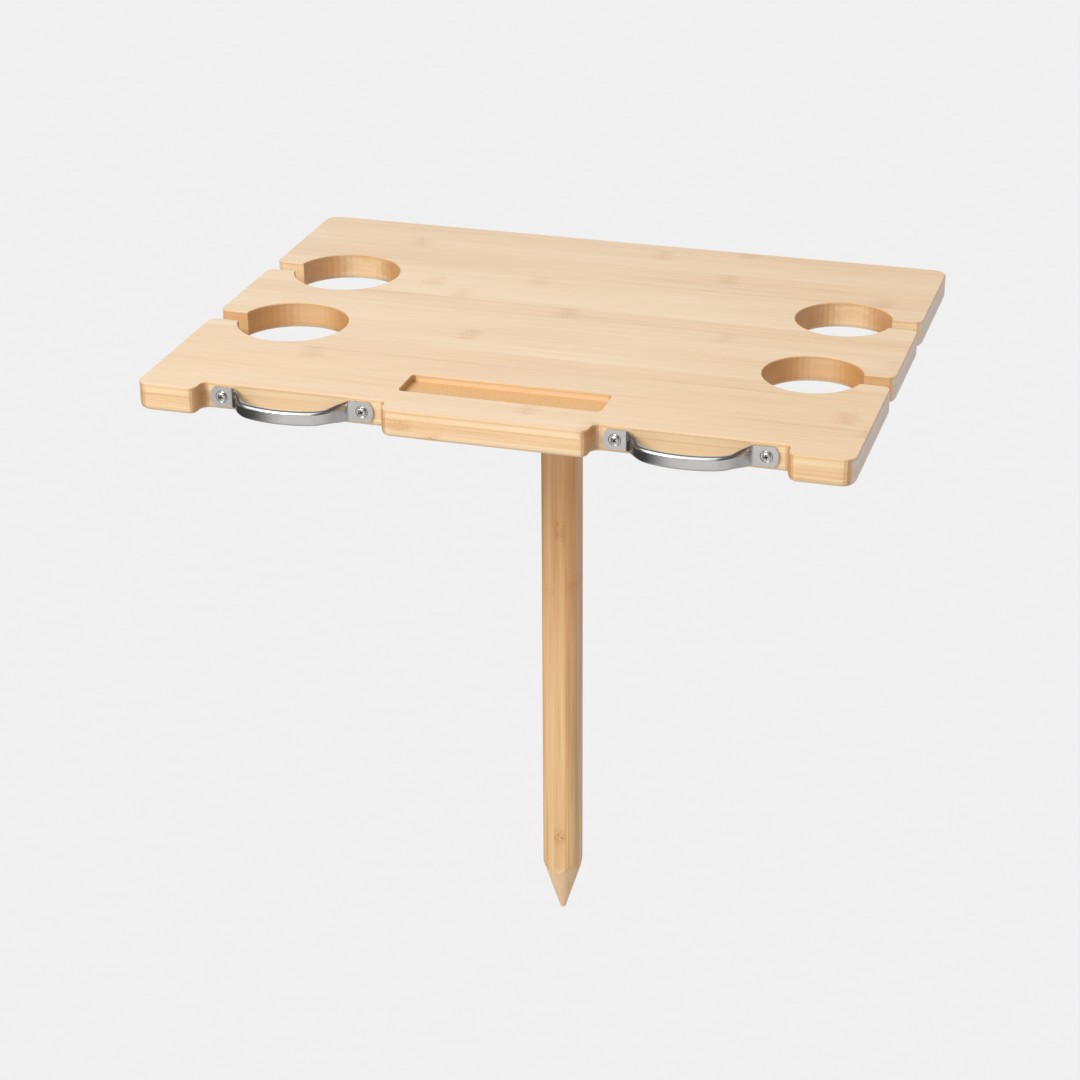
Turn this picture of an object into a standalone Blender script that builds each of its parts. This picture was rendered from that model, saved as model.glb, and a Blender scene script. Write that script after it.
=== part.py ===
"""Bamboo picnic table on a ground stake, in metres with +Z up.

A three-ply board with four glass and bottle holes, a phone groove and two steel strap handles
screws on to a square stake by a hanger bolt. The origin is the centre of the board's top face,
on the stake's axis. X runs along the board's length and the handles are on the -Y edge.
"""

import math

import bmesh
import bpy
from mathutils import Matrix, Vector

MM = 0.001
FIT_GAP = 0.3 * MM  # left between pieces that touch

# Board
BOARD_LENGTH = 500 * MM
BOARD_DEPTH = 380 * MM
BOARD_THICKNESS = 20 * MM
BOARD_TOP = 0.0
OVERALL_HEIGHT = 495.4 * MM  # top face to the stake's tip
CORNER_RADIUS = 10 * MM
UNDERSIDE_ROUND = 4.5 * MM
TOP_EASE = 0.6 * MM

# Holes and the slots that lead to them, on the left (-X) and right (+X) short edges
BOTTLE_HOLE_RADIUS = 40 * MM
GLASS_HOLE_RADIUS = 35 * MM
HOLE_EDGE_MARGIN = 21 * MM  # short edge to the nearest point of a hole
HOLE_ROWS_Y = (-48 * MM, 65 * MM)
SLOT_WIDTH = 17 * MM
SLOT_MOUTH_RADIUS = 6 * MM
HOLE_STEPS = 48

# Notches in the front edge that take the handles
NOTCH_CENTRE_X = 139 * MM
NOTCH_LENGTH = 133 * MM
NOTCH_DEPTH = 15 * MM
NOTCH_OUTER_RADIUS = 6.5 * MM
NOTCH_INNER_RADIUS = 5.5 * MM

# Phone groove
GROOVE_LENGTH = 142 * MM
GROOVE_WIDTH = 31 * MM
GROOVE_DEPTH = 5 * MM
GROOVE_RADIUS = 3.5 * MM
GROOVE_CENTRE_Y = -138.5 * MM

# Strap handles, measured from the outer face of their end plates
STRAP_WIDTH = 14.2 * MM
STRAP_THICKNESS = 1.5 * MM
STRAP_DROP = 9.2 * MM  # board's top face to the strap's middle
HANDLE_CENTRES_X = (-140.5 * MM, 138.6 * MM)  # hand fitted, so not quite central in their notches
HANDLE_HALF_LENGTH = 59.1 * MM
HANDLE_REACH = 26.2 * MM
GRIP_RADIUS = 80 * MM
GRIP_ANGLE = math.radians(16)
SHOULDER_RADIUS = 22 * MM
FLANK_ANGLE = math.radians(62)
FOLD_RADIUS = 3 * MM
PLATE_END_RADIUS = 9.5 * MM
GRIP_FLAT = 2.6 * MM  # half of the grip's flat face
GRIP_EDGE_RADIUS = 2.5 * MM
GRIP_FORMED_TO_X = 33 * MM  # fully formed as far as here, flat again from the next value on
GRIP_FLAT_FROM_X = 44 * MM
HANDLE_SCREW_X = 51 * MM
DISH_RADIUS = 4.3 * MM
DISH_DEPTH = 0.6 * MM
STRAP_HOLE_RADIUS = 2 * MM

# Wood screws: pan heads on the handles, countersunk ones under the board
SHANK_RADIUS = 1.5 * MM
PILOT_RADIUS = 1.85 * MM
SCREW_POINT = 3 * MM
RECESS_ARM = 1.9 * MM
RECESS_HALF_WIDTH = 0.5 * MM
RECESS_DEPTH = 1.1 * MM
PAN_HEAD_RADIUS = 2.8 * MM
PAN_HEAD_HEIGHT = 1.7 * MM
PAN_HEAD_DOME = 0.9 * MM
HANDLE_SCREW_LENGTH = 19 * MM
HANDLE_PILOT_DEPTH = 17 * MM
SUNK_HEAD_RADIUS = 3.4 * MM
SUNK_HEAD_RIM = 0.3 * MM
SUNK_HEAD_HEIGHT = 2.1 * MM
PLATE_SCREW_LENGTH = 12.5 * MM
PLATE_PILOT_DEPTH = 11 * MM

# Stake
STAKE_SIDE = 28 * MM
STAKE_CORNER_RADIUS = 8 * MM
STAKE_TOP_EASE = 1 * MM
CONE_HALF_ANGLE = math.radians(17.35)
TIP_RADIUS = 2.4 * MM
CONE_BLEND_RADIUS = 50 * MM
CONE_BLEND_FROM_RADIUS = 15.7 * MM  # where the cone starts to curve into the bar

# Threaded joint between board and stake
PLATE_RADIUS = 32 * MM
PLATE_THICKNESS = 2.5 * MM
BOSS_RADIUS = 8.5 * MM
BOSS_HEIGHT = 11 * MM
BOSS_RECESS_RADIUS = 9 * MM
BOSS_RECESS_DEPTH = 12 * MM
STUD_RADIUS = 5 * MM
STUD_BELOW = 35 * MM  # length in the stake
STUD_TIP_CLEARANCE = 2 * MM
WASHER_RADIUS = 13 * MM
WASHER_THICKNESS = 1.5 * MM
PLATE_SCREW_CIRCLE = 23 * MM
PLATE_EASE = 0.5 * MM
PLATE_RIM_CHAMFER = 0.7 * MM
BORE_CHAMFER = 0.8 * MM
SINK_RADIUS = 3.9 * MM
SINK_DEPTH = 1.9 * MM
WASHER_CLEARANCE = 0.4 * MM
WASHER_EASE = 0.3 * MM
STUD_NECK_DEPTH = 0.6 * MM  # waist between the machine thread and the wood thread
STUD_NECK_LENGTH = 3 * MM
STUD_POINT = 6 * MM

BOARD_BOTTOM = BOARD_TOP - BOARD_THICKNESS
PLATE_TOP = BOARD_BOTTOM - FIT_GAP
PLATE_BOTTOM = PLATE_TOP - PLATE_THICKNESS
WASHER_TOP = PLATE_BOTTOM - FIT_GAP
WASHER_BOTTOM = WASHER_TOP - WASHER_THICKNESS
STAKE_TOP = WASHER_BOTTOM - FIT_GAP
STAKE_TIP = BOARD_TOP - OVERALL_HEIGHT
NOTCH_WALL_Y = -BOARD_DEPTH / 2 + NOTCH_DEPTH
PLATE_FACE_Y = NOTCH_WALL_Y - FIT_GAP - STRAP_THICKNESS
HANDLE_Z = BOARD_TOP - STRAP_DROP
STUD_TOP = BOARD_BOTTOM + BOSS_RECESS_DEPTH - STUD_TIP_CLEARANCE


def clear_scene():
    for item in list(bpy.data.objects):
        bpy.data.objects.remove(item, do_unlink=True)


def new_collection(name):
    collection = bpy.data.collections.new(name)
    bpy.context.scene.collection.children.link(collection)
    return collection


def new_material(name, colour, roughness, metallic=0.0):
    material = bpy.data.materials.new(name)
    material.use_nodes = True
    material.diffuse_color = (*colour, 1.0)
    shader = material.node_tree.nodes["Principled BSDF"]
    shader.inputs["Base Color"].default_value = (*colour, 1.0)
    shader.inputs["Roughness"].default_value = roughness
    shader.inputs["Metallic"].default_value = metallic
    return material


clear_scene()
PARTS = new_collection("picnic_table")
CUTTERS = new_collection("picnic_table_cutters")


def add_object(name, mesh, material=None, location=(0, 0, 0), rotation=(0, 0, 0)):
    """A named part with its material or, without one, a hidden cutter."""
    piece = bpy.data.objects.new(name, mesh)
    piece.location = location
    piece.rotation_euler = rotation
    if material:
        PARTS.objects.link(piece)
        mesh.materials.clear()
        mesh.materials.append(material)
    else:
        CUTTERS.objects.link(piece)
        piece.display_type = "WIRE"
        piece.hide_render = True
    return piece


def mesh_from(bm, name):
    bmesh.ops.recalc_face_normals(bm, faces=bm.faces)
    mesh = bpy.data.meshes.new(name)
    bm.to_mesh(mesh)
    bm.free()
    return mesh


def smooth(mesh, angle_deg=35):
    mesh.shade_smooth()
    mesh.set_sharp_from_angle(angle=math.radians(angle_deg))


def arc(centre, radius, start_deg, end_deg, steps):
    """Points along an arc in the XY plane, both ends included."""
    points = []
    for step in range(steps + 1):
        angle = math.radians(start_deg + (end_deg - start_deg) * step / steps)
        x = centre[0] + radius * math.cos(angle)
        y = centre[1] + radius * math.sin(angle)
        points.append((x, y))
    return points


def rounded_rectangle(length, width, radius, steps):
    """Anticlockwise outline centred on the origin."""
    x = length / 2 - radius
    y = width / 2 - radius
    points = []
    for (cx, cy), start in (((x, y), 0), ((-x, y), 90), ((-x, -y), 180), ((x, -y), 270)):
        points += arc((cx, cy), radius, start, start + 90, steps)
    return points


def loft(name, rings):
    """A closed solid through rings of equally many points, with flat ends."""
    bm = bmesh.new()
    loops = [[bm.verts.new(point) for point in ring] for ring in rings]
    count = len(loops[0])
    for low, high in zip(loops, loops[1:]):
        for i in range(count):
            j = (i + 1) % count
            bm.faces.new((low[i], low[j], high[j], high[i]))
    bm.faces.new(list(reversed(loops[0])))
    bm.faces.new(loops[-1])
    return mesh_from(bm, name)


def turned(name, profile, material=None, location=(0, 0, 0), rotation=(0, 0, 0), steps=32, ring=False):
    """A Screw of (radius, z) points that run down the outer side; a ring's profile closes on itself."""
    mesh = bpy.data.meshes.new(name)
    count = len(profile)
    edges = [(i, i + 1) for i in range(count - 1)]
    if ring:
        edges.append((count - 1, 0))
    mesh.from_pydata([(radius, 0, z) for radius, z in profile], edges, [])
    piece = add_object(name, mesh, material, location, rotation)
    screw = piece.modifiers.new("turn", "SCREW")
    screw.steps = steps
    screw.render_steps = steps
    screw.use_merge_vertices = True
    screw.merge_threshold = 0.000001
    return piece


def cut(piece, cutter, operation="DIFFERENCE"):
    boolean = piece.modifiers.new("cut_" + cutter.name, "BOOLEAN")
    boolean.operation = operation
    boolean.object = cutter
    boolean.solver = "EXACT"


def applied(piece, angle_deg=35):
    """Turns a piece's modifiers into its mesh and shades its round faces smooth."""
    bpy.context.view_layer.update()
    graph = bpy.context.evaluated_depsgraph_get()
    mesh = bpy.data.meshes.new_from_object(piece.evaluated_get(graph))
    piece.modifiers.clear()
    piece.data = mesh
    mesh.name = piece.name
    smooth(mesh, angle_deg)
    return mesh


# ---------------------------------------------------------------- board


def slot_and_hole(edge_x, slot_y, hole_radius):
    """Outline up a right-hand edge: slot mouth, slot, round the hole, slot, mouth."""
    half = SLOT_WIDTH / 2
    hole_x = edge_x - HOLE_EDGE_MARGIN - hole_radius
    mouth_x = edge_x - SLOT_MOUTH_RADIUS
    opening_deg = math.degrees(math.asin(half / hole_radius))
    near = (mouth_x, slot_y - half - SLOT_MOUTH_RADIUS)
    far = (mouth_x, slot_y + half + SLOT_MOUTH_RADIUS)
    points = arc(near, SLOT_MOUTH_RADIUS, 0, 90, 5)
    points += arc((hole_x, slot_y), hole_radius, -opening_deg, opening_deg - 360, HOLE_STEPS)
    points += arc(far, SLOT_MOUTH_RADIUS, -90, 0, 5)
    return points


def notch(centre_x):
    """Outline along the front edge: into a handle notch and out again, each wall a soft S."""
    front = -BOARD_DEPTH / 2
    outer, inner = NOTCH_OUTER_RADIUS, NOTCH_INNER_RADIUS
    start = centre_x - NOTCH_LENGTH / 2
    end = centre_x + NOTCH_LENGTH / 2
    points = arc((start - outer, front + outer), outer, -90, 0, 5)
    points += arc((start + inner, NOTCH_WALL_Y - inner), inner, 180, 90, 5)
    points += arc((end - inner, NOTCH_WALL_Y - inner), inner, 90, 0, 5)
    points += arc((end + outer, front + outer), outer, 180, 270, 5)
    return points


def board_outline():
    """Anticlockwise from the front left corner. The slots open into the holes, so it is one loop."""
    x = BOARD_LENGTH / 2 - CORNER_RADIUS
    y = BOARD_DEPTH / 2 - CORNER_RADIUS
    edge = BOARD_LENGTH / 2
    points = arc((-x, -y), CORNER_RADIUS, 180, 270, 6)
    points += notch(-NOTCH_CENTRE_X) + notch(NOTCH_CENTRE_X)
    points += arc((x, -y), CORNER_RADIUS, 270, 360, 6)
    for row in HOLE_ROWS_Y:
        points += slot_and_hole(edge, row, GLASS_HOLE_RADIUS)
    points += arc((x, y), CORNER_RADIUS, 0, 90, 6)
    points += arc((-x, y), CORNER_RADIUS, 90, 180, 6)
    for row in reversed(HOLE_ROWS_Y):
        points += [(-px, -py) for px, py in slot_and_hole(edge, -row, BOTTLE_HOLE_RADIUS)]
    return points


def bevel_level(bm, z, width, segments):
    """Rounds the edges that lie flat at one height."""
    edges = []
    for edge in bm.edges:
        if all(abs(vert.co.z - z) < 0.01 * MM for vert in edge.verts):
            edges.append(edge)
    bmesh.ops.bevel(
        bm, geom=edges, offset=width, segments=segments, profile=0.5, affect="EDGES", clamp_overlap=False
    )


def groove_cutter():
    """The groove's space, flared at the top by the board's eased edge."""
    floor = BOARD_TOP - GROOVE_DEPTH
    rings = []
    for grow, z in (
        (0, floor),
        (0, BOARD_TOP - TOP_EASE),
        (TOP_EASE, BOARD_TOP),
        (TOP_EASE, BOARD_TOP + 3 * MM),
    ):
        outline = rounded_rectangle(
            GROOVE_LENGTH + 2 * grow, GROOVE_WIDTH + 2 * grow, GROOVE_RADIUS + grow, 4
        )
        rings.append([(x, y + GROOVE_CENTRE_Y, z) for x, y in outline])
    return add_object("groove_cutter", loft("groove_cutter", rings))


def bore_cutter(name, radius, depth, location, rotation=(0, 0, 0), steps=20, point=0.5):
    """A drilled hole along local -Z from its mouth at the location, its point given in radii."""
    profile = [(0, 1 * MM), (radius, 1 * MM), (radius, -depth), (0, -depth - radius * point)]
    return turned(name, profile, location=location, rotation=rotation, steps=steps)


FACING_FRONT = (math.radians(90), 0, 0)  # turns local +Z to -Y
FACING_DOWN = (math.radians(180), 0, 0)


def make_board(material):
    bm = bmesh.new()
    verts = [bm.verts.new((x, y, BOARD_BOTTOM)) for x, y in board_outline()]
    face = bm.faces.new(verts)
    made = bmesh.ops.extrude_face_region(bm, geom=[face])
    raised = [item for item in made["geom"] if isinstance(item, bmesh.types.BMVert)]
    bmesh.ops.translate(bm, verts=raised, vec=(0, 0, BOARD_THICKNESS))
    bmesh.ops.recalc_face_normals(bm, faces=bm.faces)
    bevel_level(bm, BOARD_BOTTOM, UNDERSIDE_ROUND, 4)
    bevel_level(bm, BOARD_TOP, TOP_EASE, 1)
    board = add_object("table_top", mesh_from(bm, "table_top"), material)
    cut(board, groove_cutter())
    mouth = (0, 0, BOARD_BOTTOM)
    recess = bore_cutter("boss_recess", BOSS_RECESS_RADIUS, BOSS_RECESS_DEPTH, mouth, FACING_DOWN, 32, 0)
    cut(board, recess)
    for i, (x, y) in enumerate(plate_screw_places()):
        place = (x, y, BOARD_BOTTOM)
        pilot = bore_cutter(f"plate_pilot_{i}", PILOT_RADIUS, PLATE_PILOT_DEPTH, place, FACING_DOWN, 12)
        cut(board, pilot)
    for i, x in enumerate(handle_screw_places()):
        place = (x, NOTCH_WALL_Y, HANDLE_Z)
        pilot = bore_cutter(f"handle_pilot_{i}", PILOT_RADIUS, HANDLE_PILOT_DEPTH, place, FACING_FRONT, 12)
        cut(board, pilot)
    applied(board)
    return board


# ---------------------------------------------------------------- handles


def arc_run(start, radius, from_angle, to_angle, steps):
    """Plan points (x, reach, slope) along an arc that starts at a point and bends towards the board."""
    centre_x = start[0] - radius * math.sin(from_angle)
    centre_reach = start[1] - radius * math.cos(from_angle)
    points = []
    for step in range(1, steps + 1):
        angle = from_angle + (to_angle - from_angle) * step / steps
        x = centre_x + radius * math.sin(angle)
        points.append((x, centre_reach + radius * math.cos(angle), angle))
    return points


def strap_stations():
    """Half of a strap in plan, centre to end, as (x, reach, slope, half width)."""
    plan = [(0, HANDLE_REACH, 0)]
    plan += arc_run(plan[-1], GRIP_RADIUS, 0, GRIP_ANGLE, 4)
    plan += arc_run(plan[-1], SHOULDER_RADIUS, GRIP_ANGLE, FLANK_ANGLE, 6)
    shoulder_x, shoulder_reach = plan[-1][:2]
    tangent = FOLD_RADIUS * math.tan(FLANK_ANGLE / 2)
    foot_x = shoulder_x + shoulder_reach / math.tan(FLANK_ANGLE)
    flank_x = foot_x - tangent * math.cos(FLANK_ANGLE)
    flank_reach = tangent * math.sin(FLANK_ANGLE)
    for step in range(1, 4):
        share = step / 3
        x = shoulder_x + (flank_x - shoulder_x) * share
        plan.append((x, shoulder_reach + (flank_reach - shoulder_reach) * share, FLANK_ANGLE))
    for step in range(1, 6):
        angle = FLANK_ANGLE * (1 - step / 5)
        x = foot_x + tangent - FOLD_RADIUS * math.sin(angle)
        plan.append((x, FOLD_RADIUS * (1 - math.cos(angle)), angle))
    half_width = STRAP_WIDTH / 2
    stations = [(*point, half_width) for point in plan]
    rise = PLATE_END_RADIUS - math.sqrt(PLATE_END_RADIUS**2 - half_width**2)
    for share in (1, 0.75, 0.5, 0.27, 0.1, 0.02):
        from_end = rise * share
        width = math.sqrt(PLATE_END_RADIUS**2 - (PLATE_END_RADIUS - from_end) ** 2)
        stations.append((HANDLE_HALF_LENGTH - from_end, 0, 0, min(width, half_width)))
    return stations


def section_marks():
    """Distances from the strap's middle line to its edge, closest together where the edge is rolled."""
    quarter_turn = GRIP_EDGE_RADIUS * math.pi / 2
    rolled = [GRIP_FLAT + quarter_turn * step / 5 for step in range(1, 6)]
    return [0, GRIP_FLAT, *rolled, STRAP_WIDTH / 2]


def strap_section(x):
    """Half of the strap's section as (height, depth behind its face): flat, then rolled back at the edge."""
    share = (x - GRIP_FORMED_TO_X) / (GRIP_FLAT_FROM_X - GRIP_FORMED_TO_X)
    flat = GRIP_FLAT + (STRAP_WIDTH / 2 - GRIP_FLAT) * min(max(share, 0), 1)
    points = []
    for mark in section_marks():
        turn = min(max(mark - flat, 0) / GRIP_EDGE_RADIUS, math.pi / 2)
        straight = max(mark - flat - GRIP_EDGE_RADIUS * math.pi / 2, 0)
        height = min(mark, flat) + GRIP_EDGE_RADIUS * math.sin(turn)
        points.append((height, GRIP_EDGE_RADIUS * (1 - math.cos(turn)) + straight))
    return points


def make_strap_mesh():
    """The strap as a formed sheet: half of its outer face, mirrored, then given its thickness."""
    bm = bmesh.new()
    rows = []
    for x, reach, angle, half_width in strap_stations():
        upper = strap_section(x)
        section = [(-height, depth) for height, depth in reversed(upper[1:])] + upper
        scale = half_width / (STRAP_WIDTH / 2)
        row = []
        for height, depth in section:
            place = (
                x - depth * math.sin(angle),
                -(reach - depth * math.cos(angle)),
                height * scale,
            )
            row.append(bm.verts.new(place))
        rows.append(row)
    for first, second in zip(rows, rows[1:]):
        for i in range(len(first) - 1):
            bm.faces.new((first[i], second[i], second[i + 1], first[i + 1]))
    mesh = bpy.data.meshes.new("strap")
    bm.to_mesh(mesh)
    bm.free()
    strap = add_object("strap_sheet", mesh)
    mirror = strap.modifiers.new("mirror", "MIRROR")
    mirror.merge_threshold = 0.00001
    sheet = strap.modifiers.new("thickness", "SOLIDIFY")
    sheet.thickness = STRAP_THICKNESS
    sheet.offset = -1
    for side in (-1, 1):
        place = (side * HANDLE_SCREW_X, 0, 0)
        profile = [
            (0, 1 * MM),
            (DISH_RADIUS + 1 * MM, 1 * MM),
            (DISH_RADIUS, 0),
            (DISH_RADIUS - DISH_DEPTH, -DISH_DEPTH),
            (STRAP_HOLE_RADIUS, -DISH_DEPTH),
            (STRAP_HOLE_RADIUS, -3 * MM),
            (0, -3 * MM),
        ]
        cutter = turned(f"strap_hole_{side + 1}", profile, location=place, rotation=FACING_FRONT, steps=24)
        cut(strap, cutter)
    formed = applied(strap, 40)
    bpy.data.objects.remove(strap)
    return formed


def make_handles(material):
    mesh = make_strap_mesh()
    handles = []
    for name, x in zip(("handle_left", "handle_right"), HANDLE_CENTRES_X):
        handles.append(add_object(name, mesh, material, (x, PLATE_FACE_Y, HANDLE_Z)))
    return handles


# ---------------------------------------------------------------- screws


def cross_cutter(name, arm, half_width, depth):
    """A cross recess below local z = 0, narrowing to its floor."""
    outline = []
    for quarter in range(4):
        turn = Matrix.Rotation(math.radians(90 * quarter), 3, "Z")
        for point in ((arm, -half_width), (arm, half_width), (half_width, half_width)):
            outline.append(turn @ Vector((*point, 0)))
    rings = []
    for scale, z in ((0.55, -depth), (1, 0), (1, 1 * MM)):
        rings.append([(point.x * scale, point.y * scale, z) for point in outline])
    return add_object(name, loft(name, rings))


def make_screw_mesh(name, head, length, material):
    """A wood screw along -Z with the top of its head at z = 0, from its head's profile."""
    neck = head[-1][1]
    profile = head + [
        (SHANK_RADIUS, neck),
        (SHANK_RADIUS, -length + SCREW_POINT),
        (0.4 * MM, -length),
        (0, -length),
    ]
    screw = turned(name, profile, material, steps=20)
    cut(screw, cross_cutter(name + "_recess", RECESS_ARM, RECESS_HALF_WIDTH, RECESS_DEPTH))
    mesh = applied(screw)
    bpy.data.objects.remove(screw)
    return mesh


def handle_screw_places():
    return [
        centre + side * HANDLE_SCREW_X
        for centre in HANDLE_CENTRES_X
        for side in (-1, 1)
    ]


def make_handle_screws(material):
    """Pan head screws through the straps' end plates, sitting in their dishes."""
    head = [(0, 0)]
    for step in range(1, 5):
        angle = math.radians(90 * step / 4)
        radius = PAN_HEAD_RADIUS * math.sin(angle) ** 0.8
        head.append((radius, -PAN_HEAD_DOME * (1 - math.cos(angle))))
    head.append((PAN_HEAD_RADIUS, -PAN_HEAD_HEIGHT))
    mesh = make_screw_mesh("handle_screw", head, HANDLE_SCREW_LENGTH, material)
    face_y = PLATE_FACE_Y + DISH_DEPTH - FIT_GAP - PAN_HEAD_HEIGHT
    names = ("handle_screw_1", "handle_screw_2", "handle_screw_3", "handle_screw_4")
    return [
        add_object(name, mesh, material, (x, face_y, HANDLE_Z), FACING_FRONT)
        for name, x in zip(names, handle_screw_places())
    ]


def plate_screw_places():
    return [
        (
            PLATE_SCREW_CIRCLE * math.cos(math.radians(45 + 90 * i)),
            PLATE_SCREW_CIRCLE * math.sin(math.radians(45 + 90 * i)),
        )
        for i in range(4)
    ]


def make_plate_screws(material):
    """Countersunk screws that hold the threaded plate under the board."""
    head = [
        (0, 0),
        (SUNK_HEAD_RADIUS, 0),
        (SUNK_HEAD_RADIUS, -SUNK_HEAD_RIM),
        (SHANK_RADIUS, -SUNK_HEAD_HEIGHT),
    ]
    mesh = make_screw_mesh("plate_screw", head, PLATE_SCREW_LENGTH, material)
    return [
        add_object(f"plate_screw_{i + 1}", mesh, material, (x, y, PLATE_BOTTOM), FACING_DOWN)
        for i, (x, y) in enumerate(plate_screw_places())
    ]


# ---------------------------------------------------------------- threaded joint and stake


def make_threaded_plate(material):
    """A round plate with a threaded boss that stands up into the board."""
    bore = STUD_RADIUS + FIT_GAP
    top = PLATE_THICKNESS + BOSS_HEIGHT
    profile = [
        (bore, top),
        (BOSS_RADIUS - PLATE_EASE, top),
        (BOSS_RADIUS, top - PLATE_EASE),
        (BOSS_RADIUS, PLATE_THICKNESS),
        (PLATE_RADIUS - PLATE_EASE, PLATE_THICKNESS),
        (PLATE_RADIUS, PLATE_THICKNESS - PLATE_EASE),
        (PLATE_RADIUS, PLATE_RIM_CHAMFER),
        (PLATE_RADIUS - PLATE_RIM_CHAMFER, 0),
        (bore + BORE_CHAMFER, 0),
        (bore, BORE_CHAMFER),
    ]
    plate = turned("threaded_plate", profile, material, (0, 0, PLATE_BOTTOM), steps=40, ring=True)
    sink = [
        (0, 1 * MM),
        (SINK_RADIUS + 1 * MM, 1 * MM),
        (SINK_RADIUS, 0),
        (PILOT_RADIUS, -SINK_DEPTH),
        (PILOT_RADIUS, -4 * MM),
        (0, -4 * MM),
    ]
    for i, (x, y) in enumerate(plate_screw_places()):
        place = (x, y, PLATE_BOTTOM)
        cut(plate, turned(f"plate_hole_{i}", sink, location=place, rotation=FACING_DOWN, steps=20))
    applied(plate)
    return plate


def make_stop_washer(material):
    inner = STUD_RADIUS + WASHER_CLEARANCE
    profile = [
        (inner, WASHER_THICKNESS),
        (WASHER_RADIUS - WASHER_EASE, WASHER_THICKNESS),
        (WASHER_RADIUS, WASHER_THICKNESS - WASHER_EASE),
        (WASHER_RADIUS, 0),
        (inner, 0),
    ]
    washer = turned("stop_washer", profile, material, (0, 0, WASHER_BOTTOM), steps=40, ring=True)
    applied(washer)
    return washer


def make_hanger_bolt(material):
    """Machine thread above the stake, wood screw below; its thread is drawn plain."""
    length = STUD_TOP - STAKE_TOP
    waist = STUD_RADIUS - STUD_NECK_DEPTH
    profile = [
        (0, length),
        (STUD_RADIUS - 1 * MM, length),
        (STUD_RADIUS, length - 1 * MM),
        (STUD_RADIUS, 1 * MM),
        (waist, 0),
        (waist, -STUD_NECK_LENGTH),
        (STUD_RADIUS, -STUD_NECK_LENGTH - 1 * MM),
        (STUD_RADIUS, STUD_POINT - STUD_BELOW),
        (1 * MM, -STUD_BELOW),
        (0, -STUD_BELOW),
    ]
    bolt = turned("hanger_bolt", profile, material, (0, 0, STAKE_TOP), steps=28)
    applied(bolt)
    return bolt


def stake_ring(grow, z):
    side = STAKE_SIDE + 2 * grow
    outline = rounded_rectangle(side, side, STAKE_CORNER_RADIUS + grow, 6)
    return [(x, y, z) for x, y in outline]


def make_stake(material):
    """A square bar with soft corners, turned to a cone at its foot and bored for the bolt."""
    length = STAKE_TOP - STAKE_TIP
    rings = [
        stake_ring(0, -5 * MM),
        stake_ring(0, length - STAKE_TOP_EASE),
        stake_ring(-STAKE_TOP_EASE, length),
    ]
    stake = add_object("stake", loft("stake", rings), material, (0, 0, STAKE_TIP))
    cone_deg = math.degrees(CONE_HALF_ANGLE)
    apex = TIP_RADIUS - TIP_RADIUS / math.sin(CONE_HALF_ANGLE)
    blend_x = CONE_BLEND_FROM_RADIUS - CONE_BLEND_RADIUS * math.cos(CONE_HALF_ANGLE)
    blend_z = apex + CONE_BLEND_FROM_RADIUS / math.tan(CONE_HALF_ANGLE)
    blend_z += CONE_BLEND_RADIUS * math.sin(CONE_HALF_ANGLE)
    blank_radius = blend_x + CONE_BLEND_RADIUS
    profile = [(0, length + 5 * MM), (blank_radius, length + 5 * MM)]
    profile += arc((blend_x, blend_z), CONE_BLEND_RADIUS, 0, -cone_deg, 8)
    tip = arc((0, TIP_RADIUS), TIP_RADIUS, -cone_deg, -90, 5)
    profile += tip[:-1] + [(0, 0)]
    cone = turned("cone_cutter", profile, location=(0, 0, STAKE_TIP), steps=56)
    cut(stake, cone, "INTERSECT")
    bore = bore_cutter("bolt_bore", STUD_RADIUS + FIT_GAP, STUD_BELOW + 2 * MM, (0, 0, STAKE_TOP), steps=28)
    cut(stake, bore)
    applied(stake, 30)
    return stake


# ---------------------------------------------------------------- assembly


def main():
    bamboo = new_material("bamboo_board", (0.79, 0.60, 0.40), 0.45)
    stake_bamboo = new_material("bamboo_stake", (0.62, 0.40, 0.21), 0.5)
    strap_steel = new_material("polished_steel", (0.62, 0.62, 0.63), 0.22, 1.0)
    screw_steel = new_material("screw_steel", (0.58, 0.58, 0.58), 0.3, 1.0)
    plate_steel = new_material("zinc_plated_steel", (0.5, 0.5, 0.52), 0.35, 1.0)

    turning = [make_board(bamboo), make_threaded_plate(plate_steel)]
    turning += make_handles(strap_steel)
    turning += make_handle_screws(screw_steel)
    turning += make_plate_screws(plate_steel)
    make_stop_washer(plate_steel)
    make_stake(stake_bamboo)
    make_hanger_bolt(plate_steel)

    axis = bpy.data.objects.new("table_top_axis", None)
    axis.location = (0, 0, STAKE_TOP)
    PARTS.objects.link(axis)
    for piece in turning:
        piece.parent = axis
        piece.matrix_parent_inverse = Matrix.Translation(-axis.location)


main()
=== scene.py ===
"""Looks for the bamboo picnic table on its ground stake: materials, fine parts, light and camera."""

import math

import bpy
from mathutils import Matrix, Vector


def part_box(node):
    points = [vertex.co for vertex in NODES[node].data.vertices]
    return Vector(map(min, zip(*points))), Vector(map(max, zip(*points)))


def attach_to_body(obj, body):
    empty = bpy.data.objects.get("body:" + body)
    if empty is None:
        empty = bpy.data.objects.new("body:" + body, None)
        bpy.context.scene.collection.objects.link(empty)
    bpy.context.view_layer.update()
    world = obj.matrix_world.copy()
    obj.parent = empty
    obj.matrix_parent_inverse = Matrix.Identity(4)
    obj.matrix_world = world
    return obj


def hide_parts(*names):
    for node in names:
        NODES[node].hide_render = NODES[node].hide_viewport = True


MM = 0.001

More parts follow.
